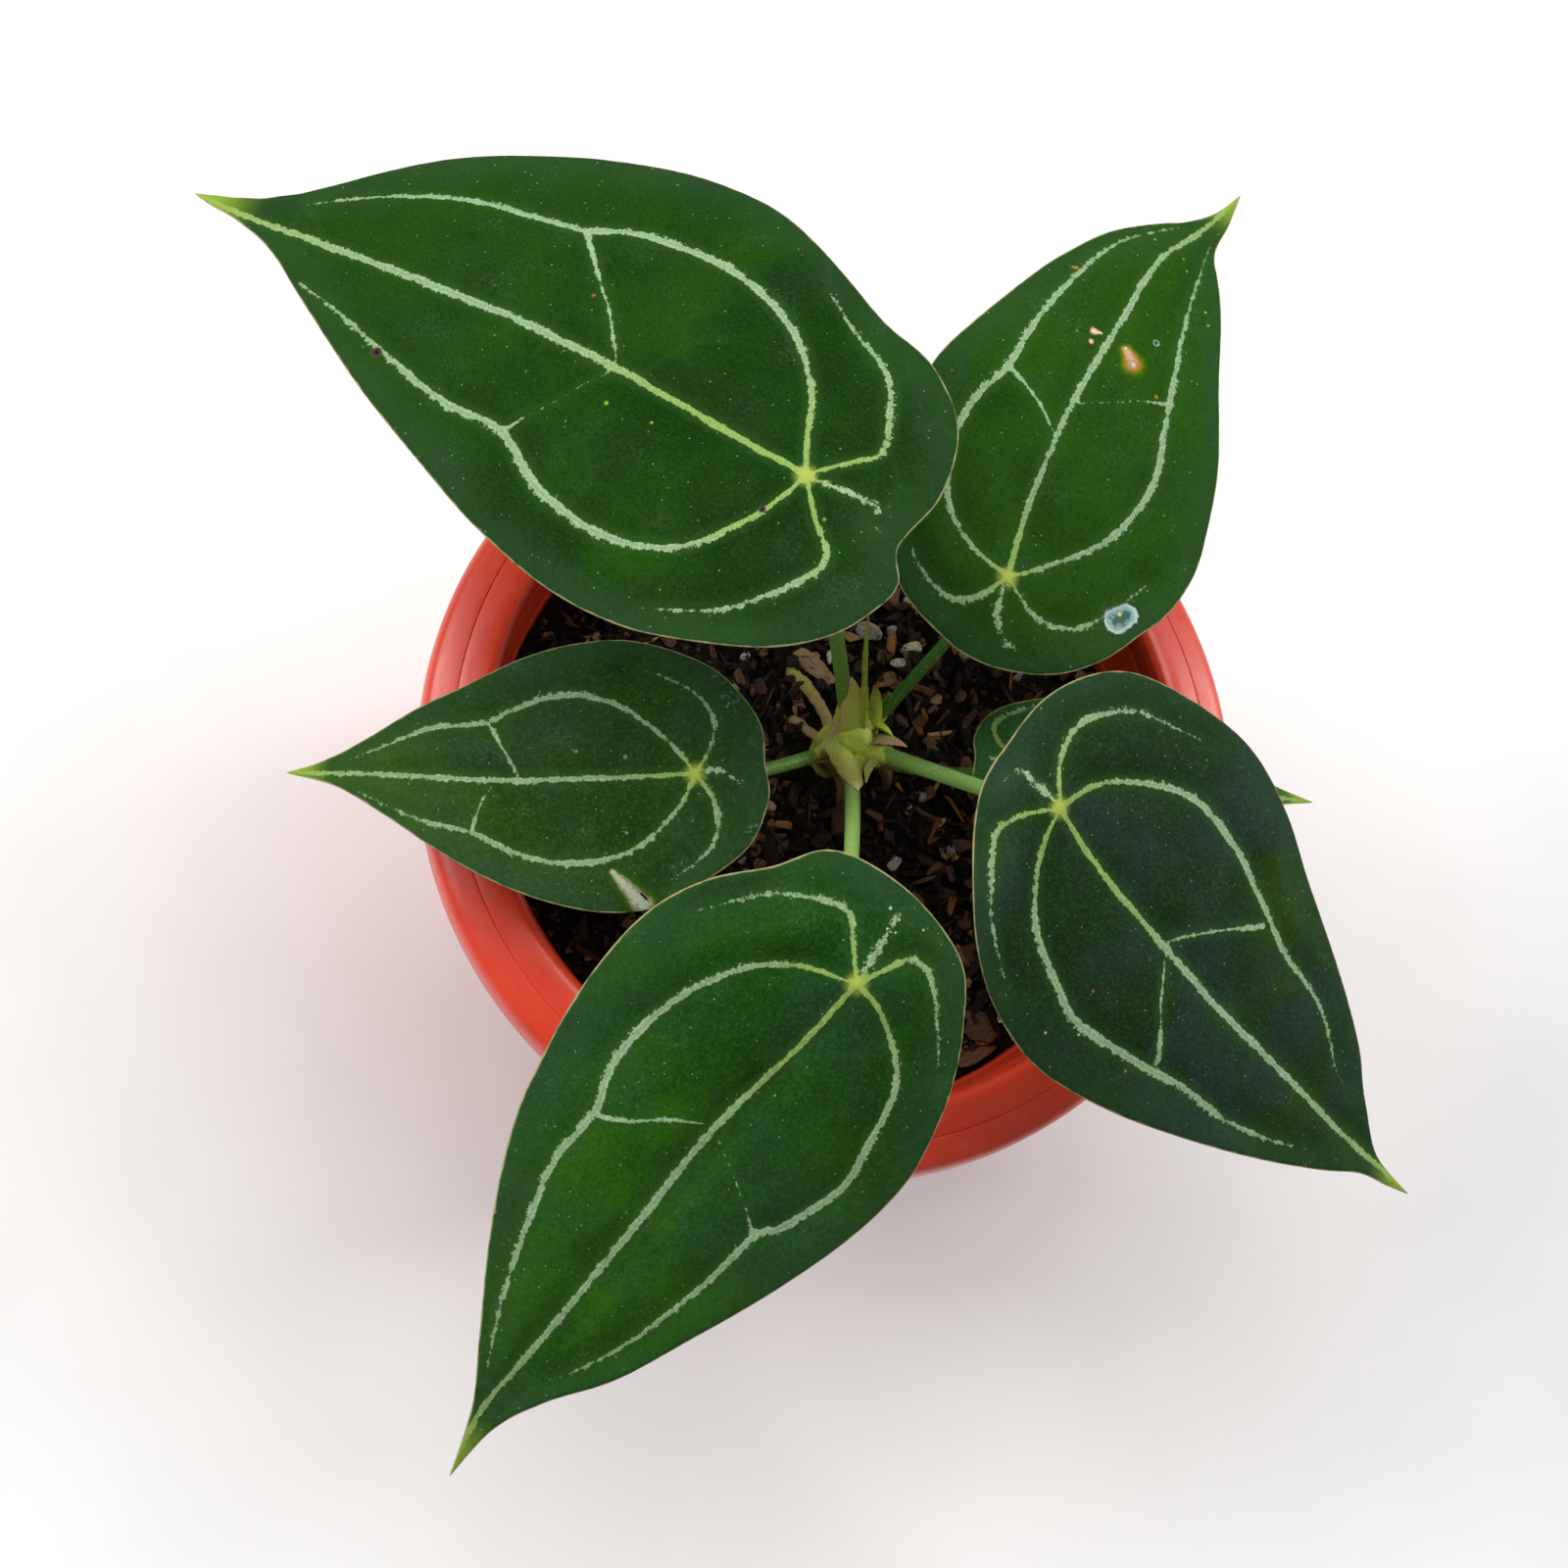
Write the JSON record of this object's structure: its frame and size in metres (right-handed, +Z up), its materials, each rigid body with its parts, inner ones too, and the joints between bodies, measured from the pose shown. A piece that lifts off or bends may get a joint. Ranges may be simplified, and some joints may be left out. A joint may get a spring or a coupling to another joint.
{
  "type": "potted anthurium forgetii",
  "caption": "Velvet-leaved aroid house plant: veined teardrop leaves on slender stalks from a short crown, in a round rimmed plastic pot filled with bark mix.",
  "frame": {"origin": "middle of the pot's base, on the plane it stands on", "axes": "+Z up along the pot's axis, +X to the right and +Y away from the viewer in the picture's near-overhead view"},
  "size_m": [0.2668, 0.2736, 0.2371],
  "materials": {
    "pot_plastic": "moulded terracotta-red plastic, softly glossy",
    "potting_mix": "damp humus with bark chips and white pumice grit",
    "crown": "fleshy yellow-green stem with leaf scars",
    "petiole": "smooth green stalk",
    "blade": "velvety dark green with silver-green veins",
    "new_leaf": "rolled yellow-green spear",
    "bract": "papery olive to brown sheath",
    "root": "olive to brown root skin"
  },
  "bodies": {
    "root": {"pot": "pot_plastic", "potting_mix": "potting_mix", "crown": "crown", "petiole_1": "petiole", "petiole_2": "petiole", "petiole_3": "petiole", "petiole_4": "petiole", "petiole_5": "petiole", "petiole_6": "petiole", "leaf_1": "blade", "leaf_2": "blade", "leaf_3": "blade", "leaf_4": "blade", "leaf_5": "blade", "leaf_6": "blade", "new_leaf": "new_leaf", "bract_1": "bract", "bract_2": "bract", "bract_3": "bract", "bract_4": "bract", "root_1": "root", "root_2": "root", "root_3": "root", "root_4": "root"}
  },
  "joints": []
}
